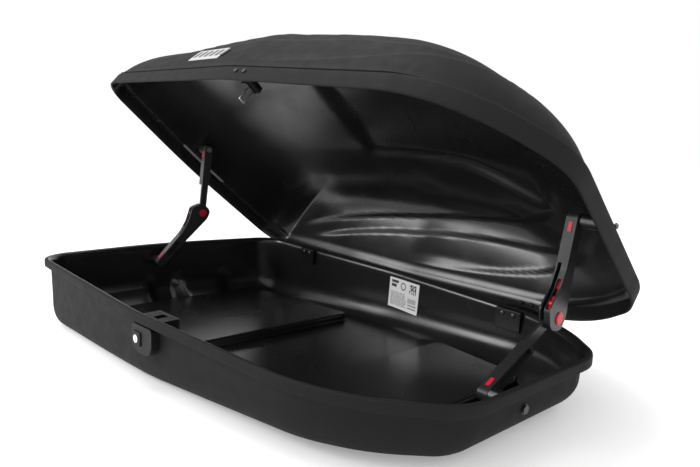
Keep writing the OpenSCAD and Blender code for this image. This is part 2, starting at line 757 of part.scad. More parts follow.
// ---------------------------------------------------------------- striker on the lid
module at_striker()
    on_lid() translate([lock_x, -side_y(rim, lock_x), 0]) rotate([0, 0, lock_turn]) children();
striker_y = [-1.8, 46];
striker_z = [6, 22];
striker_half = 22;
module striker_screw_places()
    for (s = [-1, 1]) translate([loop_x + s * 14, 0, 14]) children();
module striker_block() color(black) at_striker() difference() {
    union() {
        slab_y([[loop_x - striker_half, striker_z[0], 4], [loop_x + striker_half, striker_z[0], 4],
            [loop_x + striker_half - 5, striker_z[1], 4],
            [loop_x - striker_half + 5, striker_z[1], 4]], striker_y[0], striker_y[1]);
        translate([loop_x - 10, striker_y[0] + 18, striker_z[0] - 3])
            cube([20, striker_y[1] - striker_y[0] - 18, 6]);
    }
    for (y = loop_y) translate([loop_x, y, 0]) cylinder(r = loop_r, h = 18, $fn = 32);
    striker_screw_places() rod_y(screw_r, striker_y[0] - 1, 24);
}
loop_r = 2;
module striker_loop() color(steel) at_striker() {
    for (y = loop_y)
        translate([loop_x, y, loop_low]) cylinder(r = loop_r, h = 18 - loop_low, $fn = 32);
    translate([loop_x, 0, loop_low]) rod_y(loop_r, loop_y[0], loop_y[1]);
    for (y = loop_y) translate([loop_x, y, loop_low]) sphere(r = loop_r, $fn = 32);
}
lid_skin_out = -6.9;
module striker_screws() color(steel) at_striker() striker_screw_places() {
    rod_y(screw_r, lid_skin_out, 23);
    rod_y(4.5, lid_skin_out - 2, lid_skin_out);
}

// ---------------------------------------------------------------- label and badge
// Inset of the tray's inner face from the rim's edge, at lengthwise place x and height z.
function inner_inset(x, z) =
    let(low = level(x, floor_top), up = curve_up - wall, top = low + up)
    z > top ? rim_lip + wall + 3 * (-22 - z) / (-22 - top)
    : rim_lip + 3 + wall + (6 + bottom_inset(x)) * (1 - sin(acos(1 - (z - low) / up)));

// A thin patch: columns of points on its back and the same points moved by `lift`.
module patch(columns, lift) {
    m = len(columns[0]);
    polyhedron([for (c = columns) each concat([for (p = c) p], [for (k = [m - 1:-1:0]) c[k] + lift])],
        shell_faces(len(columns), 2 * m), convexity = 4);
}
label_x = [39, 157];
label_z = [-99, -17];
module info_label() color(paper_white) in_rim_frame()
    patch([for (i = [0:8])
        let(x = label_x[0] + (label_x[1] - label_x[0]) * i / 8)
        [for (k = [0:6])
            let(z = label_z[0] + (label_z[1] - label_z[0]) * k / 6)
            [x, side_y(rim, x) - inner_inset(x, z) - 1, z]]],
        [0, -0.4, 0]);
// The badge follows the dome on the opening side.
badge_x = [-205, -15];
badge_r = [0.972, 0.992];
badge_cols = [for (i = [0:count - 1])
    if (dome_foot[i][1] < 0 && dome_foot[i][0] > badge_x[0] && dome_foot[i][0] < badge_x[1]) i];
function dome_point(i, r) =
    let(p = dome_centre + (dome_foot[i] - dome_centre) * r)
    [p[0], p[1], ledge_z + (roof(p[0]) - ledge_z) * dome_height(r)];
module badge_plate() color(gloss_black) on_lid()
    patch([for (i = badge_cols) [for (k = [0:4]) dome_point(i,
        badge_r[0] + (badge_r[1] - badge_r[0]) * k / 4) + [0, -0.7, 0.7]]], [0, -1, 1]);

// ---------------------------------------------------------------- the pieces
// Two sloping bosses stand on the floor behind the rear platform's edge.
module ramp(y, half)
    translate([0, y + half, 0])
        rotate([90, 0, 0])
            linear_extrude(2 * half)
                polygon([[-538, wall - 1], [-556, 24], [-566, 50], [-560, 60], [-535, 57],
                    [-480, 32], [-452, 26], [-450, wall - 1]]);

// The formed tray is drawn as two nodes: the wall with its rim, and the floor.
module tray_floor() color(black) difference() {
    union() {
        linear_extrude(wall) floor_outline();
        intersection() {
            linear_extrude(platform_top) floor_outline();
            platforms();
        }
        feet();
        ramp(-155, 75);
        ramp(110, 70);
    }
    clamp_holes();
    hollows();
}
module tray() color(black) difference() {
    union() {
        tray_wall();
        hinge_pad(hinge_rear);
        hinge_pad(hinge_front);
    }
    hinge_recess(hinge_rear);
    hinge_recess(hinge_front);
    in_rim_frame() {
        for (h = [hinge_rear, hinge_front])
            at_hinge(h) rivet_places(tray_rivet_up) rod_y(rivet_r, -h[1] - 30, -h[1] + 1);
        bolt_hole(tray_point(rear_arm));
        bolt_hole(tray_point(front_arm));
    }
    at_lock() {
        key_bore(key_r + 1.5, 0, 40);
        lock_screw_places() rod_y(screw_r + 0.4, 0, 40);
    }
}
module lid() color(black) on_lid() difference() {
    lid_shell();
    for (h = [hinge_rear, hinge_front])
        at_hinge(h) rivet_places(lid_rivet_up) rod_y(rivet_r, skirt_off(h) - 12, skirt_off(h) + 6);
    for (a = [rear_arm, front_arm]) bolt_hole(lid_point(a));
    translate([lock_x, -side_y(rim, lock_x), 0]) rotate([0, 0, lock_turn])
        striker_screw_places() rod_y(screw_r + 0.4, -20, 20);
}
module tray_hinge_leaf_rear() color(steel) tray_leaf(hinge_rear);
module tray_hinge_leaf_front() color(steel) tray_leaf(hinge_front);
module hinge_pin_rear() color(steel) hinge_pin(hinge_rear);
module hinge_pin_front() color(steel) hinge_pin(hinge_front);
module tray_hinge_rivets() color(steel) {
    tray_rivet_pair(hinge_rear);
    tray_rivet_pair(hinge_front);
}
module lid_hinge_leaf_rear() color(steel) lid_leaf(hinge_rear);
module lid_hinge_leaf_front() color(steel) lid_leaf(hinge_front);
module lid_hinge_rivets() color(steel) {
    lid_rivet_pair(hinge_rear);
    lid_rivet_pair(hinge_front);
}
module tray_arm_bracket_rear() color(steel) tray_bracket(rear_arm, tray_wall_rear);
module tray_arm_bracket_front() color(steel) tray_bracket(front_arm, tray_wall_front);
module tray_arm_bolts() color(steel) {
    tray_bolt(rear_arm, tray_wall_rear);
    tray_bolt(front_arm, tray_wall_front);
}
module lid_arm_bracket_rear() color(steel) lid_bracket(rear_arm, lid_wall_rear, lid_gap_rear);
module lid_arm_bracket_front() color(steel) lid_bracket(front_arm, lid_wall_front, lid_gap_front);
module lid_arm_bolts() color(steel) {
    lid_bolt(rear_arm, lid_wall_rear);
    lid_bolt(front_arm, lid_wall_front);
}
module main_link(arm) color(black) main_place(arm) main_link_solid(main_len(arm));
module plain_link(arm) color(black) plain_place(arm) plain_link_solid(plain_len(arm));
module elbow_pin(arm) color(steel) main_place(arm) elbow_pin_solid(main_len(arm));
module elbow_cap(arm) color(red) main_place(arm) elbow_cap_solid(main_len(arm));
module lid_pin(arm) color(steel) lid_pin_solid(arm);
module tray_clip(arm) color(red) lower_place(arm) clip_solid(arm[5]);
module lid_clip(arm) color(red) upper_place(arm) clip_solid(-arm[5]);
module catch_seat(arm) color(red) main_place(arm) catch_seat_solid(main_len(arm));
module catch(arm) color(red) main_place(arm) catch_solid(main_len(arm));
module catch_spring(arm) color(steel) main_place(arm) catch_spring_solid(main_len(arm));

tray();
tray_floor();
info_label();
tray_hinge_leaf_rear();
tray_hinge_leaf_front();
hinge_pin_rear();
hinge_pin_front();
tray_hinge_rivets();
tray_arm_bracket_rear();
tray_arm_bracket_front();
tray_arm_bolts();
lock_housing();
lock_bezel();
lock_case();
lock_case_cover();
lock_screws();
key_cylinder();
latch_hook();
lid();
badge_plate();
lid_hinge_leaf_rear();
lid_hinge_leaf_front();
lid_hinge_rivets();
lid_arm_bracket_rear();
lid_arm_bracket_front();
lid_arm_bolts();
striker_block();
striker_loop();
striker_screws();
main_link(rear_arm);  // rear_main_link
plain_link(rear_arm);  // rear_plain_link
elbow_pin(rear_arm);  // rear_elbow_pin
elbow_cap(rear_arm);  // rear_elbow_cap
lid_pin(rear_arm);  // rear_lid_pin
tray_clip(rear_arm);  // rear_tray_clip
lid_clip(rear_arm);  // rear_lid_clip
catch_seat(rear_arm);  // rear_catch_seat
catch(rear_arm);  // rear_catch
catch_spring(rear_arm);  // rear_catch_spring
main_link(front_arm);  // front_main_link
plain_link(front_arm);  // front_plain_link
elbow_pin(front_arm);  // front_elbow_pin
elbow_cap(front_arm);  // front_elbow_cap
lid_pin(front_arm);  // front_lid_pin
tray_clip(front_arm);  // front_tray_clip
lid_clip(front_arm);  // front_lid_clip
catch_seat(front_arm);  // front_catch_seat
catch(front_arm);  // front_catch
catch_spring(front_arm);  // front_catch_spring
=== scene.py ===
"""Looks of the roof cargo box: fine shells for the tray and the lid, materials, light and camera.

The rim frame is the frame that the lid, the rim, the hinges and the arms are laid out in: its XY
plane is the top of the tray's rim, which falls towards the nose. Lengths are in millimetres in
the shape functions, and in metres in the meshes.
"""

import math
import random

import bpy
import numpy as np
from mathutils import Matrix, Vector


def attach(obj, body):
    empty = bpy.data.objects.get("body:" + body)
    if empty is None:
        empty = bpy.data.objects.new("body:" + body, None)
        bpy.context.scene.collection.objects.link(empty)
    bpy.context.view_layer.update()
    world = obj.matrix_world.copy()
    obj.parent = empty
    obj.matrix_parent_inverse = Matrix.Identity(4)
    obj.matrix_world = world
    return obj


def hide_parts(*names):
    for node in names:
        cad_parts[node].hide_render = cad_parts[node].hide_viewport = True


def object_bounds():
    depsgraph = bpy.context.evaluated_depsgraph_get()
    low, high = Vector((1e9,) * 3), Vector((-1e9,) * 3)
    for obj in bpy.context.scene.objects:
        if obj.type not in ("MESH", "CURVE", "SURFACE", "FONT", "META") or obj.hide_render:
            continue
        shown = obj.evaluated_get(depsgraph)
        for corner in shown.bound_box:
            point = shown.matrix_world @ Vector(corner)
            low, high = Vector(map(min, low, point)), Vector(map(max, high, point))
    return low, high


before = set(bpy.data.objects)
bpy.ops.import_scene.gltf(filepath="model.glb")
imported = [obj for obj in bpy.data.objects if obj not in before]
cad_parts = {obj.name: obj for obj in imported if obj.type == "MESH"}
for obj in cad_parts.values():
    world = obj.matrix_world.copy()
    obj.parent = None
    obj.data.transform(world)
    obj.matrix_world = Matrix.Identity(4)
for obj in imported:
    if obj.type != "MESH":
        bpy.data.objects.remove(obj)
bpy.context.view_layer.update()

# ---------------------------------------------------------------- the box's driving dimensions
TRAY = dict(rear=627, nose=719, widths=(386, 378, 322, 181))
LID = dict(rear=657, nose=749, widths=(391.5, 383.5, 335.5, 186.5))
WALL = 4.0
RIM_FALL = math.radians(3.58)
RIM_HEIGHT = 153.0
LID_ANGLE = math.radians(39.8)
HINGE = np.array([0.0, 358.0, -34.0])
HINGE_SKEW = math.radians(-1.72)
PLATFORM_TOP = 23.0
FINE = 4  # how many times finer than the solid's outline the meshes are


# ---------------------------------------------------------------- outline of the rim
# steps on each rounded corner, and on the straight after it
ARC_STEPS = [4, 8, 5, 8, 8, 0]
RUN_STEPS = [2, 8, 5, 2, 2, 0]


def unit(v):
    return v / np.linalg.norm(v)


def fillet(a, b, c, radius, steps):
    """Points on the rounding of corner b between its neighbours a and c."""
    a, b, c = (np.array(p[:2], float) for p in (a, b, c))
    to_a, to_c = unit(a - b), unit(c - b)
    half = math.acos(max(-1, min(1, float(to_a @ to_c)))) / 2
    centre = b + unit(to_a + to_c) * radius / math.sin(half)
    start = b + to_a * radius / math.tan(half) - centre
    end = b + to_c * radius / math.tan(half) - centre
    first = math.atan2(start[1], start[0])
    turn = math.atan2(end[1], end[0]) - first
    turn -= 2 * math.pi * round(turn / (2 * math.pi))
    angles = [first + turn * k / steps for k in range(steps + 1)]
    return [centre + radius * np.array([math.cos(t), math.sin(t)]) for t in angles]


def outline(rear, nose, widths):
    """A closed outline that runs anticlockwise from the middle of the rear end.

    Each corner is (x, y, radius of its rounding); the half with y above zero is a mirror.
    """
    w_rear, w_mid, w_shoulder, w_nose = widths
    corners = [
        (-rear, 0, 1150),
        (-rear + 49, -w_rear, 92),
        (50, -w_mid, 950),
        (nose - 150, -w_shoulder, 368),
        (nose, -w_nose, 111),
        (nose, 0, 0),
    ]
    arcs = []
    for i, corner in enumerate(corners):
        steps = ARC_STEPS[i] * FINE
        if i == 0:
            mirrored = (corners[1][0], -corners[1][1])
            arcs.append(fillet(mirrored, corner, corners[1], corner[2], 2 * steps)[steps:])
        elif i == len(corners) - 1:
            arcs.append([np.array(corner[:2], float)])
        else:
            arcs.append(fillet(corners[i - 1], corner, corners[i + 1], corner[2], steps))
    half = []
    for i, arc in enumerate(arcs):
        half += list(arc)
        if i < len(arcs) - 1:
            n = RUN_STEPS[i] * FINE
            half += [arc[-1] + (arcs[i + 1][0] - arc[-1]) * k / n for k in range(1, n)]
    other = [np.array([p[0], -p[1]]) for p in half[-2:0:-1]]
    return np.array(half + other)


def outward(points):
    """Unit normals that point out of a closed outline."""
    along = np.roll(points, -1, 0) - np.roll(points, 1, 0)
    along /= np.linalg.norm(along, axis=1)[:, None]
    return np.c_[along[:, 1], -along[:, 0]]


def ease(t):
    """A smooth step from 0 to 1."""
    t = np.clip(t, 0, 1)
    return t * t * (3 - 2 * t)


def side_y(points, x):
    """y of the hinge side of an outline at lengthwise place x."""
    side = points[points[:, 1] > 0]
    side = side[np.argsort(side[:, 0])]
    return np.interp(x, side[:, 0], side[:, 1])


RIM = outline(**TRAY)
RIM_OUT = outward(RIM)
LID_RIM = outline(**LID)
LID_OUT = outward(LID_RIM)


# ---------------------------------------------------------------- frames
def rim_to_world(points):
    """Millimetres in the rim frame to metres in the row frame."""
    p = np.atleast_2d(points) / 1000
    c, s = math.cos(RIM_FALL), math.sin(RIM_FALL)
    return np.c_[p[:, 0] * c + p[:, 2] * s, p[:, 1], -p[:, 0] * s + p[:, 2] * c + RIM_HEIGHT / 1000]


def swing(points, angle):
    """Turns points of the rim frame about the skewed hinge line."""
    axis = np.array([math.cos(HINGE_SKEW), math.sin(HINGE_SKEW), 0.0])
    q = np.atleast_2d(points) - HINGE
    turned = q * math.cos(angle) + np.cross(axis, q) * math.sin(angle)
    return HINGE + turned + np.outer(q @ axis, axis) * (1 - math.cos(angle))


def level(x, up):
    """Height in the rim frame of a level that lies `up` above the underside."""
    return -(RIM_HEIGHT - up) / math.cos(RIM_FALL) + math.tan(RIM_FALL) * x


# ---------------------------------------------------------------- mesh helpers
def new_object(name, verts, faces, smooth=True):
    """A mesh object from its points and faces."""
    mesh = bpy.data.meshes.new(name)
    mesh.from_pydata([tuple(v) for v in verts], [], faces)
    mesh.update()
    obj = bpy.data.objects.new(name, mesh)
    bpy.context.scene.collection.objects.link(obj)
    if smooth:
        for polygon in mesh.polygons:
            polygon.use_smooth = True
    return obj


def ring_quads(first, second, count):
    """Quads between two rings of vertices that start at these indices."""
    return [
        (first + i, second + i, second + (i + 1) % count, first + (i + 1) % count)
        for i in range(count)
    ]


def sharpen(obj, degrees):
    """Marks edges sharper than this, so that smooth shading stops there."""
    mesh = obj.data
    mesh.calc_loop_triangles()
    normals = [p.normal.copy() for p in mesh.polygons]
    users = {}
    for p in mesh.polygons:
        for key in p.edge_keys:
            users.setdefault(key, []).append(p.index)
    limit = math.cos(math.radians(degrees))
    for edge in mesh.edges:
        near = users.get(edge.key, [])
        if len(near) == 2 and normals[near[0]].dot(normals[near[1]]) < limit:
            edge.use_edge_sharp = True


# ---------------------------------------------------------------- materials
def nodes_of(name):
    """A new material with its node tree and its shader."""
    mat = bpy.data.materials.new(name)
    mat.use_nodes = True
    tree = mat.node_tree
    return mat, tree, tree.nodes["Principled BSDF"]


def noise(tree, scale, detail=2.0, stretch=None):
    """Noise laid out in the object's own coordinates."""
    coords = tree.nodes.new("ShaderNodeTexCoord")
    node = tree.nodes.new("ShaderNodeTexNoise")
    node.inputs["Scale"].default_value = scale
    node.inputs["Detail"].default_value = detail
    source = coords.outputs["Object"]
    if stretch:
        mapping = tree.nodes.new("ShaderNodeMapping")
        mapping.inputs["Scale"].default_value = stretch
        tree.links.new(source, mapping.inputs["Vector"])
        source = mapping.outputs["Vector"]
    tree.links.new(source, node.inputs["Vector"])
    return node.outputs["Fac"]


def ramp(tree, value, low, high):
    """Maps a noise value to the range from low to high."""
    node = tree.nodes.new("ShaderNodeMapRange")
    node.inputs["From Min"].default_value = 0.3
    node.inputs["From Max"].default_value = 0.7
    node.inputs["To Min"].default_value = low
    node.inputs["To Max"].default_value = high
    tree.links.new(value, node.inputs["Value"])
    return node.outputs["Result"]


def add_bump(tree, shader, layers):
    """Stacks bumps: each layer is (height socket, strength, distance in metres)."""
    last = None
    for height, strength, distance in layers:
        node = tree.nodes.new("ShaderNodeBump")
        node.inputs["Strength"].default_value = strength
        node.inputs["Distance"].default_value = distance
        tree.links.new(height, node.inputs["Height"])
        if last:
            tree.links.new(last, node.inputs["Normal"])
        last = node.outputs["Normal"]
    tree.links.new(last, shader.inputs["Normal"])


def tinted(tree, shader, dark, light, factor):
    """A base colour that wanders between two tones."""
    mix = tree.nodes.new("ShaderNodeMix")
    mix.data_type = "RGBA"
    mix.inputs[6].default_value = (*dark, 1)
    mix.inputs[7].default_value = (*light, 1)
    tree.links.new(factor, mix.inputs[0])
    tree.links.new(mix.outputs[2], shader.inputs["Base Color"])


def grained_plastic(name, dark, light, rough, grain=1500, depth=0.00012, strength=0.35, gloss=0.25):
    """Formed plastic with a fine leather-like grain."""
    mat, tree, shader = nodes_of(name)
    shader.inputs["Specular IOR Level"].default_value = gloss
    tinted(tree, shader, dark, light, noise(tree, 9, 4))
    fine = noise(tree, grain, 2)
    tree.links.new(ramp(tree, noise(tree, 40, 3), rough[0], rough[1]), shader.inputs["Roughness"])
    add_bump(tree, shader, [(fine, strength, depth), (noise(tree, 6, 1), 0.06, 0.002)])
    return mat


def gloss_plastic(name, dark, light, rough, wave=0.02):
    """Smooth sheet plastic: faint orange peel and slight waviness from forming."""
    mat, tree, shader = nodes_of(name)
    tinted(tree, shader, dark, light, noise(tree, 5, 3))
    tree.links.new(ramp(tree, noise(tree, 14, 4), rough[0], rough[1]), shader.inputs["Roughness"])
    add_bump(tree, shader, [(noise(tree, 8, 2), wave, 0.004), (noise(tree, 420, 2), 0.05, 0.0001)])
    return mat


def metal(name, colour, rough, stretch=(1, 1, 1), scale=300):
    """Plated or polished metal with a fine grain."""
    mat, tree, shader = nodes_of(name)
    light = tuple(min(1, c * 1.12) for c in colour)
    grain = noise(tree, scale, 3, stretch)
    tinted(tree, shader, colour, light, grain)
    shader.inputs["Metallic"].default_value = 1.0
    tree.links.new(ramp(tree, grain, rough[0], rough[1]), shader.inputs["Roughness"])
    add_bump(tree, shader, [(grain, 0.12, 0.0001)])
    return mat


def paper(name):
    """White label stock."""
    mat, tree, shader = nodes_of(name)
    tinted(tree, shader, (0.78, 0.78, 0.78), (0.86, 0.86, 0.86), noise(tree, 60, 3))
    tree.links.new(ramp(tree, noise(tree, 90, 3), 0.45, 0.6), shader.inputs["Roughness"])
    add_bump(tree, shader, [(noise(tree, 900, 2), 0.1, 0.0001)])
    return mat


def ink(name):
    """Dark print on the label and the badge."""
    mat, tree, shader = nodes_of(name)
    tinted(tree, shader, (0.02, 0.02, 0.02), (0.06, 0.06, 0.06), noise(tree, 400, 3))
    tree.links.new(ramp(tree, noise(tree, 200, 3), 0.4, 0.6), shader.inputs["Roughness"])
    return mat


def grey(tone):
    """A near-black plastic's colour: a grey with a trace of blue."""
    return (tone, tone, tone + 0.0005)


def make_materials():
    """Each plastic has a dark tone, a light tone and a range of roughness."""
    return {
        "textured_plastic": grained_plastic(
            "textured_plastic", grey(0.0125), grey(0.016), (0.6, 0.7), gloss=0.07
        ),
        "inside_plastic": gloss_plastic("inside_plastic", grey(0.006), grey(0.009), (0.22, 0.28)),
        "housing_plastic": grained_plastic(
            "housing_plastic", grey(0.006), grey(0.009), (0.4, 0.5), gloss=0.12
        ),
        "cover_plastic": grained_plastic(
            "cover_plastic", (0.03, 0.03, 0.031), (0.04, 0.04, 0.041), (0.45, 0.55)
        ),
        "badge_plastic": gloss_plastic(
            "badge_plastic", (0.35, 0.35, 0.36), (0.5, 0.5, 0.51), (0.22, 0.3)
        ),
        "arm_plastic": grained_plastic(
            "arm_plastic", (0.02, 0.02, 0.021), (0.028, 0.028, 0.029), (0.28, 0.38), gloss=0.5
        ),
        "paper": paper("paper"),
        "print": ink("print"),
        "red_plastic": gloss_plastic(
            "red_plastic", (0.62, 0.01, 0.03), (0.75, 0.02, 0.045), (0.3, 0.42)
        ),
        "steel": metal("steel", (0.5, 0.51, 0.53), (0.25, 0.4)),
        "dark_steel": metal("dark_steel", (0.09, 0.09, 0.095), (0.25, 0.4)),
        "key_chrome": metal("key_chrome", (0.7, 0.71, 0.73), (0.12, 0.22), (1, 1, 30)),
    }


MATERIALS = make_materials()


# ---------------------------------------------------------------- tray
RIM_LIP = 15.0  # inset of the wall from the edge of the rim
LIP_Z = -22  # height in the rim frame at which the wall turns into the rim
LEAN_FOOT, LEAN_HIGH = 3, 2.7  # how far the wall leans in at its foot, and just above the ramps
OUTSIDE_FLANGE = 15  # rings of the rim that have the outer finish
CURVE_UP = 62.0  # height of the curve between the floor and the wall
CURVE_STEPS = 14
CURVE_IN = 6  # reach of that curve that is the same all round
TURN_REAR, TURN_NOSE = 30, 78  # its further reach at the two ends
# the ramps behind the rear platform: height of the slope, reach at the floor beyond that at the
# top, reach at the top, height over which that runs out, and a height clear of them
RAMP_UP, RAMP_FOOT, RAMP_TOP, RAMP_FADE, RAMP_CLEAR = 58.0, 70.0, 30, 14, 80.0


def bottom_inset(x):
    """How far the curve under the wall reaches in, at lengthwise place x."""
    return TURN_REAR + (TURN_NOSE - TURN_REAR) * np.clip((x + 250) / 800, 0, 1) ** 1.8


def ramp_reach(up):
    """How far a ramp stands in from the wall at a height above the floor."""
    if up < RAMP_UP:
        return RAMP_TOP + RAMP_FOOT * (1 - up / RAMP_UP) ** 1.4
    return RAMP_TOP * max(0.0, 1 - (up - RAMP_UP) / RAMP_FADE)


def ramp_share(p):
    """1 where the two ramps stand along the rear wall, and 0 elsewhere."""
    near = ease((p[:, 1] + 285) / 50) * ease((-45 - p[:, 1]) / 50)
    far = ease((p[:, 1] - 5) / 45) * ease((205 - p[:, 1]) / 45)
    return np.where(p[:, 0] > -500, 0, near + far)


def upper_ring(inset, z):
    """A ring at a height in the rim frame."""
    p = RIM - RIM_OUT * inset
    return np.c_[p, np.full(len(p), float(z))]


def lower_ring(inset, height, turn, up):
    """A ring at a level above the underside, pulled in by a share of the curve and the ramps."""
    reach = inset + turn * bottom_inset(RIM[:, 0]) + ramp_share(RIM) * ramp_reach(up)
    p = RIM - RIM_OUT * reach[:, None]
    return np.c_[p, level(p[:, 0], height)]


def curve_ring(t, under):
    """A ring of the curve between floor and wall, at share t of its quarter turn."""
    angle = math.pi / 2 * t
    up = (CURVE_UP - under) * (1 - math.cos(angle))
    inset = RIM_LIP + LEAN_FOOT + under + CURVE_IN * (1 - math.sin(angle))
    return lower_ring(inset, under + up, 1 - math.sin(angle), up)


def blend_rings(a, b, steps):
    """The rings between two rings."""
    return [a + (b - a) * k / steps for k in range(1, steps)]


def tray_rings():
    """Rings from the edge of the underside over the rim to the edge of the floor, and where inside starts."""
    steps = [k / CURVE_STEPS for k in range(CURVE_STEPS + 1)]
    outside = [curve_ring(t, 0) for t in steps]
    high = lower_ring(RIM_LIP + LEAN_HIGH, RAMP_CLEAR, 0, RAMP_CLEAR)
    outside += blend_rings(outside[-1], high, 6) + [high]
    lip = upper_ring(RIM_LIP, LIP_Z)
    outside += blend_rings(high, lip, 4) + [lip]
    inside = [curve_ring(t, WALL) for t in steps]
    high_in = lower_ring(RIM_LIP + LEAN_HIGH + WALL, RAMP_CLEAR, 0, RAMP_CLEAR)
    inside += blend_rings(inside[-1], high_in, 6) + [high_in]
    lip_in = upper_ring(RIM_LIP + WALL, LIP_Z)
    inside += blend_rings(high_in, lip_in, 4) + [lip_in]
    flange = [(RIM_LIP - 0.4, -12), (RIM_LIP - 1.6, -6.5), (RIM_LIP - 4, -5), (6, -5), (4.6, -6.2)]
    flange += [(4, -9), (4, -17.4), (3.4, -18), (0.8, -18), (0.1, -17.2), (0, -14), (0, -3.6)]
    flange += [(0.5, -1.6), (1.6, -0.5), (3.2, 0), (8.5, 0), (10.6, -0.5), (12.6, -1.9)]
    flange += [(RIM_LIP, -4), (RIM_LIP + WALL - 1.2, -7.5), (RIM_LIP + WALL - 0.4, -12)]
    rings = outside + [upper_ring(a, z) for a, z in flange] + inside[::-1]
    return rings, len(outside) + OUTSIDE_FLANGE


def loft(name, rings, cap_first=False, cap_last=False):
    """A skin through rings of equal count."""
    count = len(rings[0])
    faces = []
    for k in range(len(rings) - 1):
        faces += ring_quads(k * count, (k + 1) * count, count)
    if cap_first:
        faces.append(tuple(range(count)))
    if cap_last:
        faces.append(tuple(range((len(rings) - 1) * count, len(rings) * count))[::-1])
    return new_object(name, np.vstack(rings), faces)


def rounded_outline(corners, steps=10):
    """A closed outline through corners given as (x, y, radius)."""
    points = []
    for i, corner in enumerate(corners):
        points += fillet(corners[i - 1], corner, corners[(i + 1) % len(corners)], corner[2], steps)
    return np.array(points)


def raised_pad(name, corners, top, base, edge=5.0, cove=7.0):
    """A raised field of the floor, with a rounded top edge and a cove at its foot."""
    shape = rounded_outline(corners)
    out = outward(shape)
    quarter = np.linspace(0, math.pi / 2, 7)
    rise = top - base
    profile = [(cove * (1 - math.sin(t)), cove * (1 - math.cos(t))) for t in quarter]
    profile += [(-edge * (1 - math.cos(t)), rise - edge * (1 - math.sin(t))) for t in quarter]
    rings = [np.c_[shape + out * off, np.full(len(shape), base + up)] / 1000 for off, up in profile]
    return loft(name, rings, cap_last=True)


def join(target, others):
    """Joins objects into the first one and keeps its name."""
    bpy.ops.object.select_all(action="DESELECT")
    for o in others + [target]:
        o.select_set(True)
    bpy.context.view_layer.objects.active = target
    bpy.ops.object.join()
    return target


def cutter(name, radius, centre, axis, length, sides=24):
    """A round cutter, with its sizes in metres."""
    axis = Vector(axis).normalized()
    turn = axis.to_track_quat("Z", "Y").to_matrix()
    rings = []
    for end in (-length / 2, length / 2):
        ring = []
        for k in range(sides):
            t = 2 * math.pi * k / sides
            arm = Vector((radius * math.cos(t), radius * math.sin(t), end))
            ring.append(Vector(centre) + turn @ arm)
        rings.append(np.array([tuple(v) for v in ring]))
    return loft(name, rings, cap_first=True, cap_last=True)


def combine(obj, tool, operation):
    """Applies a boolean to obj and removes the tool."""
    mod = obj.modifiers.new("combine", "BOOLEAN")
    mod.operation = operation
    mod.solver = "EXACT"
    mod.object = tool
    bpy.context.view_layer.objects.active = obj
    bpy.ops.object.modifier_apply(modifier=mod.name)
    bpy.data.objects.remove(tool)


def cut(obj, cutters):
    """Applies the cutters to obj and removes them."""
    combine(obj, join(cutters[0], cutters[1:]), "DIFFERENCE")


# corners of the two raised platforms, as (x, half width, radius)
REAR_PLATFORM = ((-545, 276, 40), (-52, 276, 24))
FRONT_PLATFORM = ((296, 258, 20), (560, 196, 46))
PLATFORM_THICK = 3
CLAMP_PITCH, CLAMP_ROW, CLAMP_RADIUS = 34, 195, 3.5
CLAMP_STARTS = [(-302, 8), (430, 4)]  # first hole and number of holes in each row


def floor_sheet():
    """The floor inside the wall, in rings that close in on its middle."""
    edge = curve_ring(0, WALL)
    rings = []
    for share in (0.96, 0.85, 0.6, 0.3, 0.04):
        p = edge * share
        rings.append(rim_to_world(np.c_[p[:, :2], level(p[:, 0], WALL)]))
    return rings


# hinges: place along the hinge line, depth of the recess behind it, and the pad's reach out past it
HINGES = ((-337, 12, 10), (455, 38, 13))
PAD_HALF, PAD_LOW, PAD_TOP, RECESS_TOP = 33.0, -48.0, -2.6, -5.5
RECESS_OUT = 90  # length of the cutter for a recess, so that it comes out of the wall


def hinge_block(name, hinge, x_half, y_range, z_range, slot):
    """A box in the frame of a hinge: x along the skewed hinge line, y out of the box."""
    near, far = y_range
    base_corners = ((-x_half, near), (x_half, near), (x_half, far), (-x_half, far))
    p = np.array([(x, y, z) for z in z_range for x, y in base_corners])
    c, s = math.cos(HINGE_SKEW), math.sin(HINGE_SKEW)
    base = HINGE[1] + math.tan(HINGE_SKEW) * hinge[0]
    rim = np.c_[hinge[0] + p[:, 0] * c - p[:, 1] * s, base + p[:, 0] * s + p[:, 1] * c, p[:, 2]]
    faces = [(3, 2, 1, 0), (4, 5, 6, 7), (0, 1, 5, 4), (1, 2, 6, 5), (2, 3, 7, 6), (3, 0, 4, 7)]
    block = new_object(name, rim_to_world(rim), faces, smooth=False)
    for polygon in block.data.polygons:
        polygon.material_index = slot
    return block


def add_hinge_pads(shell):
    """Flat pads inside the far wall, each hollowed from outside for its hinge leaf."""
    for hinge in HINGES:
        deep, out = hinge[1], hinge[2]
        pad = hinge_block("pad", hinge, PAD_HALF, (-deep - WALL, out), (PAD_LOW, PAD_TOP), 1)
        soften(pad, 0.0016)
        combine(shell, pad, "UNION")
        inside = (PAD_LOW + WALL, RECESS_TOP)
        room = hinge_block("room", hinge, PAD_HALF - WALL, (-deep, RECESS_OUT - deep), inside, 0)
        combine(shell, room, "DIFFERENCE")


def soften(obj, width):
    """Rounds every edge of a small block."""
    mod = obj.modifiers.new("edge", "BEVEL")
    mod.width, mod.segments = width, 3
    bpy.context.view_layer.objects.active = obj
    bpy.ops.object.modifier_apply(modifier=mod.name)


def platform(name, ends):
    """A raised platform, with walls, from its rear and front corners on one side."""
    (rear, rear_half, rear_r), (front, front_half, front_r) = ends
    corners = [(rear, -rear_half, rear_r), (front, -front_half, front_r)]
    corners += [(front, front_half, front_r), (rear, rear_half, rear_r)]
    pad = raised_pad(name, corners, PLATFORM_TOP, WALL)
    solid = pad.modifiers.new("thick", "SOLIDIFY")
    solid.thickness = PLATFORM_THICK / 1000
    bpy.context.view_layer.objects.active = pad
    bpy.ops.object.modifier_apply(modifier=solid.name)
    return pad


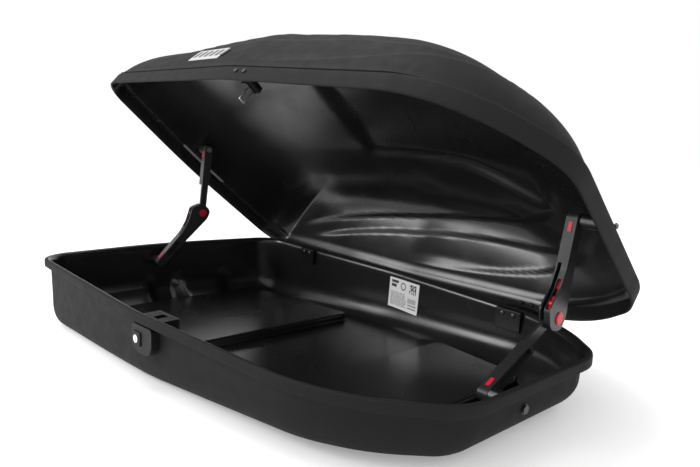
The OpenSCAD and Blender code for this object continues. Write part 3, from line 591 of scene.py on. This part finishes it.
def clamp_hole_cutters():
    """Cutters for the clamp rows. They mark each hole's edge on the platforms, but leave it closed."""
    holes = []
    for start, number in CLAMP_STARTS:
        for k in range(number):
            for side in (-1, 1):
                at = np.array([start + CLAMP_PITCH * k, side * CLAMP_ROW, PLATFORM_TOP]) / 1000
                holes.append(cutter("hole", CLAMP_RADIUS / 1000, at, (0, 0, 1), 0.03))
    return holes


def make_tray():
    """The formed tray: one closed skin with the platforms standing on its floor."""
    rings, inside_from = tray_rings()
    world = [rim_to_world(r) for r in rings]
    count = len(world[0])
    under = [np.c_[world[0][:, :2] * share, np.zeros(count)] for share in (0.04, 0.5, 0.9)]
    shell = loft("tray_shell", under + world + floor_sheet(), cap_first=True, cap_last=True)
    first_inside = (inside_from + len(under)) * count
    pads = [platform("rear_pad", REAR_PLATFORM), platform("front_pad", FRONT_PLATFORM)]
    holes = clamp_hole_cutters()
    pad = join(pads[0], pads[1:])
    cut(pad, holes)
    shell.data.materials.append(MATERIALS["textured_plastic"])
    shell.data.materials.append(MATERIALS["inside_plastic"])
    for polygon in shell.data.polygons:
        polygon.material_index = 1 if min(polygon.vertices) >= first_inside else 0
    add_hinge_pads(shell)
    pad.data.materials.append(MATERIALS["textured_plastic"])
    pad.data.materials.append(MATERIALS["inside_plastic"])
    for polygon in pad.data.polygons:
        polygon.material_index = 1
    tray = join(shell, [pad])
    sharpen(tray, 50)
    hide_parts("tray", "tray_floor")
    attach(tray, "tray")


# ---------------------------------------------------------------- lid
SKIRT_LOW, SKIRT_TOP, LEDGE_Z = -9.0, 27.0, 30.0
LID_HEIGHTS = dict(peak=256.0, rear=158.0, nose=140.0)
PEAK_X = 60.0
DOME_CENTRE = np.array([30.0, 0.0])
DOME_POWER, DOME_ROOT = 7, 1.5
# inset of the dome's foot from the rim of the lid
DOME_IN_SIDE, DOME_IN_REAR, DOME_IN_NOSE = 5, 36, 16
# depths of the three long creases on each side and of the sunk panel in the roof
SHOULDER_DEPTH, MIDDLE_DEPTH, SWEEP_DEPTH, PANEL_DEPTH = 9, 7, 6, 11
OUTSIDE_SKIRT = 10  # rings of the skirt that have the outer finish
CREASE_SOFT = 5  # half the width over which a crease comes in


def roof(x):
    """Height of the roof along the middle of the lid."""
    peak, rear, nose = LID_HEIGHTS["peak"], LID_HEIGHTS["rear"], LID_HEIGHTS["nose"]
    behind = np.clip(PEAK_X - x, 0, None) / (TRAY["rear"] + PEAK_X)
    ahead = np.clip(x - PEAK_X, 0, None) / (TRAY["nose"] - PEAK_X)
    return np.where(x < PEAK_X, peak - (peak - rear) * behind**2, peak - (peak - nose) * ahead**2.2)


def dome_inset(p, n):
    """Inset of the dome's foot: small at the sides, larger at the ends."""
    share = ease(np.abs(n[:, 0]) * 1.15)
    at_end = np.where(p[:, 0] < 0, DOME_IN_REAR, DOME_IN_NOSE)
    return DOME_IN_SIDE + (at_end - DOME_IN_SIDE) * share


DOME_FOOT = LID_RIM - LID_OUT * dome_inset(LID_RIM, LID_OUT)[:, None]


def band(x, low, high, soft):
    """1 between low and high, easing to 0 over `soft` at each end."""
    return ease((x - low) / soft) * ease((high - x) / soft)


def above(z, line):
    """1 above a crease, 0 below it."""
    return ease((z - line + CREASE_SOFT) / (2 * CREASE_SOFT))


def relief(p, z):
    """How far the creases pull the dome in, in mm, at plan place p and height z."""
    x, y = p[:, 0], p[:, 1]
    # heights of the three crease lines along the box
    shoulder = 196 - 104 * ((x - 300) / 745) ** 2
    middle = 146 - 74 * ((x - 253) / 570) ** 2
    sweep = 52 + 78 * np.clip((x - 57) / 567, 0, 1.2) ** 2.2
    side = ease((np.abs(y) - 120) / 120)
    depth = SHOULDER_DEPTH * above(z, shoulder) * band(x, -520, 640, 160) * side
    depth = depth + MIDDLE_DEPTH * above(z, middle) * band(x, -430, 560, 150) * side
    depth = depth + SWEEP_DEPTH * above(z, sweep) * band(x, 20, 700, 140) * side
    # the panel widens towards the nose
    half = 150 + 40 * ease((x - 200) / 260)
    panel = band(x, -110, 500, 45) * ease((half + 14 - np.abs(y)) / 28)
    return depth - PANEL_DEPTH * panel * ease((z - 120) / 60)


def dome_ring(r, thick):
    """A ring of the dome at share r of the way out, pulled in by the relief."""
    q = DOME_FOOT - LID_OUT * thick
    p = DOME_CENTRE + (q - DOME_CENTRE) * r
    height = (1 - r**DOME_POWER) ** (1 / DOME_ROOT)
    z = LEDGE_Z - thick + (roof(p[:, 0]) - LEDGE_Z) * height
    depth = relief(p, z) * ease((1 - r) / 0.02)
    upright = min(1.0, height * 1.05) ** 2
    p = p - LID_OUT * (depth * (1 - upright))[:, None]
    return np.c_[p, z - depth * upright]


def lid_ring(inset, z):
    """A ring of the lid's skirt."""
    p = LID_RIM - LID_OUT * inset
    return np.c_[p, np.full(len(p), float(z))]


def ledge_ring(out, z):
    """A ring of the ledge at the dome's foot."""
    p = DOME_FOOT + LID_OUT * out
    return np.c_[p, np.full(len(p), float(z))]


def dome_shares():
    """Shares of the way out from the middle: close together near the foot."""
    steps = 64
    return [1 - (1 - k / steps) ** 2.4 for k in range(1, steps)][::-1]


def lid_rings():
    """Rings from the top of the dome over the skirt and back up inside, and where inside starts."""
    shares = [s * 0.9965 for s in dome_shares()]
    outside = [dome_ring(s, 0) for s in shares[::-1]]
    edge = [ledge_ring(2, LEDGE_Z + 2.4), ledge_ring(3, LEDGE_Z), ledge_ring(5, LEDGE_Z - 0.6)]
    skirt = [(3.2, SKIRT_TOP + 1.4), (1.5, SKIRT_TOP + 0.4), (0.5, SKIRT_TOP - 1.6), (0.1, SKIRT_TOP - 4)]
    skirt += [(0, 8), (0, -3), (0, SKIRT_LOW + 1.4), (0.5, SKIRT_LOW + 0.3), (1.4, SKIRT_LOW)]
    skirt += [(WALL - 1.4, SKIRT_LOW), (WALL - 0.5, SKIRT_LOW + 0.5), (WALL, SKIRT_LOW + 2)]
    skirt += [(WALL, 8), (WALL, SKIRT_TOP - WALL)]
    inner_edge = [ledge_ring(-1, LEDGE_Z - WALL)]
    inside = [dome_ring(s, WALL) for s in shares]
    rings = outside + edge + [lid_ring(a, z) for a, z in skirt] + inner_edge + inside
    return rings, len(outside) + len(edge) + OUTSIDE_SKIRT


def make_lid():
    """The formed lid, laid out closed and swung open."""
    rings, inside_from = lid_rings()
    world = [rim_to_world(swing(r, -LID_ANGLE)) for r in rings]
    count = len(world[0])
    lid = loft("lid_shell", world, cap_first=True, cap_last=True)
    lid.data.materials.append(MATERIALS["textured_plastic"])
    lid.data.materials.append(MATERIALS["inside_plastic"])
    for polygon in lid.data.polygons:
        polygon.material_index = 1 if min(polygon.vertices) >= inside_from * count else 0
    sharpen(lid, 60)
    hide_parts("lid")
    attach(lid, "lid")


# ---------------------------------------------------------------- label and badge
LABEL_X, LABEL_Z = (39.0, 157.0), (-99.0, -17.0)
LABEL_LIFT = 1.4
BADGE_X, BADGE_R = (-205.0, -15.0), (0.972, 0.992)


def inner_inset(x, z):
    """Inset of the tray's inner face from the edge of the rim."""
    low = level(x, WALL)
    up = CURVE_UP - WALL
    top = low + up
    straight = RIM_LIP + WALL + LEAN_FOOT * (LIP_Z - z) / (LIP_Z - top)
    share = np.clip(1 - (z - low) / up, -1, 1)
    curved = RIM_LIP + LEAN_FOOT + WALL + (CURVE_IN + bottom_inset(x)) * (1 - np.sin(np.arccos(share)))
    return np.where(z > top, straight, curved)


def label_point(u, v, lift):
    """A point over the label: u runs towards the nose and v up the wall."""
    x = LABEL_X[0] + (LABEL_X[1] - LABEL_X[0]) * u
    z = LABEL_Z[0] + (LABEL_Z[1] - LABEL_Z[0]) * v
    return (x, side_y(RIM, x) - float(inner_inset(x, z)) - LABEL_LIFT - lift, z)


def patches(name, boxes, point, lift, across=6):
    """Thin printed fields: each box is (u0, u1, v0, v1) on a surface given by point(u, v, lift)."""
    verts, faces = [], []
    for u0, u1, v0, v1 in boxes:
        first = len(verts)
        for k in range(across + 1):
            u = u0 + (u1 - u0) * k / across
            verts += [point(u, v0, lift), point(u, v1, lift)]
        for k in range(across):
            a = first + 2 * k
            faces.append((a, a + 2, a + 3, a + 1))
    return new_object(name, rim_to_world(np.array(verts)), faces, smooth=False)


def make_label():
    """A plain information label: rows of bars, a coded square and a ring, none of them real."""
    draw = random.Random(7)
    strips = [(0, 1, k / 10, (k + 1) / 10) for k in range(10)]
    sheet = patches("label_sheet", strips, label_point, 0.45)
    sheet.data.materials.append(MATERIALS["paper"])
    boxes = []
    for row in range(9):
        v = 0.52 - row * 0.052
        u = 0.07
        while u < 0.55:
            wide = draw.uniform(0.03, 0.12)
            boxes.append((u, min(0.6, u + wide), v, v + 0.02))
            u += wide + 0.02
    for i in range(9):
        for j in range(9):
            if draw.random() < 0.5:
                u, v = i * 0.025, j * 0.034
                boxes.append((0.68 + u, 0.705 + u, 0.62 + v, 0.654 + v))
    boxes += [(0.07, 0.3, 0.84, 0.93), (0.07, 0.24, 0.7, 0.8)]
    boxes += [(0.66, 0.94, 0.12, 0.15), (0.66, 0.94, 0.22, 0.25)]
    boxes += [(0.66 + k * 0.03, 0.672 + k * 0.03, 0.3, 0.46) for k in range(9)]
    for k in range(20):
        t = 2 * math.pi * k / 20
        u, v = 0.47 + 0.075 * math.cos(t), 0.78 + 0.11 * math.sin(t)
        boxes.append((u - 0.012, u + 0.012, v - 0.018, v + 0.018))
    ink_marks = patches("label_marks", boxes, label_point, 0.6, across=1)
    ink_marks.data.materials.append(MATERIALS["print"])
    join(sheet, [ink_marks])
    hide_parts("info_label")
    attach(sheet, "tray")


def badge_point(u, v, lift):
    """A point over the badge: u runs towards the nose and v up the dome."""
    x = BADGE_X[0] + (BADGE_X[1] - BADGE_X[0]) * u
    foot = DOME_FOOT[DOME_FOOT[:, 1] < 0]
    foot = foot[np.argsort(foot[:, 0])]
    r = BADGE_R[1] + (BADGE_R[0] - BADGE_R[1]) * v
    p = DOME_CENTRE + (np.array([x, np.interp(x, foot[:, 0], foot[:, 1])]) - DOME_CENTRE) * r
    height = (1 - r**DOME_POWER) ** (1 / DOME_ROOT)
    z = LEDGE_Z + (float(roof(p[0])) - LEDGE_Z) * height
    return (p[0], p[1] - 0.7 - lift, z + 0.7 + lift)


def make_badge_marks():
    """Slanted bars on the badge, in place of any name."""
    strips = []
    for k in range(6):
        low = 0.12 + 0.13 * k
        base = [badge_point(low, 0.2, 1.25), badge_point(low + 0.07, 0.2, 1.25)]
        tip = [badge_point(low + 0.1, 0.8, 1.25), badge_point(low + 0.03, 0.8, 1.25)]
        strips.append(base + tip)
    points = np.array([p for strip in strips for p in strip])
    faces = [(4 * k, 4 * k + 1, 4 * k + 2, 4 * k + 3) for k in range(len(strips))]
    marks = new_object("badge_marks", rim_to_world(swing(points, -LID_ANGLE)), faces, smooth=False)
    marks.data.materials.append(MATERIALS["print"])
    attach(marks, "lid")


# ---------------------------------------------------------------- finishes of the CAD pieces
def finish_of(node):
    """The finish of a CAD piece, told from its name."""
    if node.endswith(("main_link", "plain_link")):
        return "arm_plastic"
    if node.endswith(("elbow_cap", "clip", "catch_seat", "_catch")):
        return "red_plastic"
    if node in ("lock_housing", "lock_case", "striker_block", "lock_bezel"):
        return "housing_plastic"
    if node == "lock_case_cover":
        return "cover_plastic"
    if node == "key_cylinder":
        return "key_chrome"
    if node == "badge_plate":
        return "badge_plastic"
    if any(word in node for word in ("hinge_leaf", "rivets", "bracket", "bolts", "striker_screws")):
        return "dark_steel"
    return "steel"


def dress_cad():
    """Gives every CAD piece that is still shown its material."""
    for name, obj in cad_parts.items():
        if obj.hide_render:
            continue
        obj.data.materials.clear()
        obj.data.materials.append(MATERIALS[finish_of(name)])


# ---------------------------------------------------------------- light, floor, camera
def make_floor():
    """A plain pale floor at the object's lowest point."""
    size = 9.0
    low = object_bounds()[0][2]
    mat, tree, shader = nodes_of("floor")
    tinted(tree, shader, (0.86, 0.86, 0.86), (0.9, 0.9, 0.9), noise(tree, 2, 2))
    shader.inputs["Roughness"].default_value = 0.7
    shader.inputs["Emission Color"].default_value = (1, 1, 1, 1)
    shader.inputs["Emission Strength"].default_value = 0.26
    corners = [(-size, -size), (size, -size), (size, size), (-size, size)]
    floor = new_object("floor", [(x, y, low) for x, y in corners], [(0, 1, 2, 3)], smooth=False)
    floor.data.materials.append(mat)


def area_light(name, place, target, size, power):
    light = bpy.data.lights.new(name, "AREA")
    light.shape = "RECTANGLE"
    light.size, light.size_y = size
    light.energy = power
    obj = bpy.data.objects.new(name, light)
    obj.location = place
    obj.rotation_euler = (Vector(target) - Vector(place)).to_track_quat("-Z", "Y").to_euler()
    bpy.context.scene.collection.objects.link(obj)


def make_light():
    """An even white studio, with a soft light above and a stronger one on the left."""
    world = bpy.data.worlds.new("studio")
    world.use_nodes = True
    back = world.node_tree.nodes["Background"]
    back.inputs["Color"].default_value = (1.0, 1.0, 1.0, 1)
    back.inputs["Strength"].default_value = 1.0
    bpy.context.scene.world = world
    area_light("top", (-0.4, -0.3, 3.0), (0, 0, 0.2), (2.4, 1.6), 45)
    area_light("left", (-2.2, -2.4, 1.8), (0, 0, 0.25), (1.6, 1.4), 66)
    area_light("right", (2.8, 1.2, 1.3), (0, 0, 0.3), (0.8, 1.6), 3)


# the camera in the rim frame: place in metres; azimuth, elevation and roll in degrees
CAMERA_PLACE = (1.15344, -0.80925, 0.34227)
CAMERA_TURN = (47.924, 8.6722, 2.9269)
LENS, SENSOR = 30.37, 36


def make_camera():
    """The camera looks from the nose side of the opening, a little above the rim."""
    turn = Matrix.Rotation(RIM_FALL, 3, "Y")
    azimuth, elevation, roll = (math.radians(a) for a in CAMERA_TURN)
    flat = math.cos(elevation)
    back = Vector((math.sin(azimuth) * flat, -math.cos(azimuth) * flat, math.sin(elevation)))
    right = Vector((math.cos(azimuth), math.sin(azimuth), 0))
    up = back.cross(right)
    rolled = right * math.cos(roll) + up * math.sin(roll)
    upright = up * math.cos(roll) - right * math.sin(roll)
    axes = Matrix([turn @ rolled, turn @ upright, turn @ back]).transposed()
    place = turn @ Vector(CAMERA_PLACE) + Vector((0, 0, RIM_HEIGHT / 1000))
    data = bpy.data.cameras.new("camera")
    data.lens, data.sensor_width = LENS, SENSOR
    camera = bpy.data.objects.new("camera", data)
    camera.matrix_world = Matrix.Translation(place) @ axes.to_4x4()
    bpy.context.scene.collection.objects.link(camera)
    bpy.context.scene.camera = camera
    bpy.context.scene.view_settings.view_transform = "Standard"


make_tray()
make_lid()
make_label()
make_badge_marks()
dress_cad()
make_floor()
make_light()
make_camera()
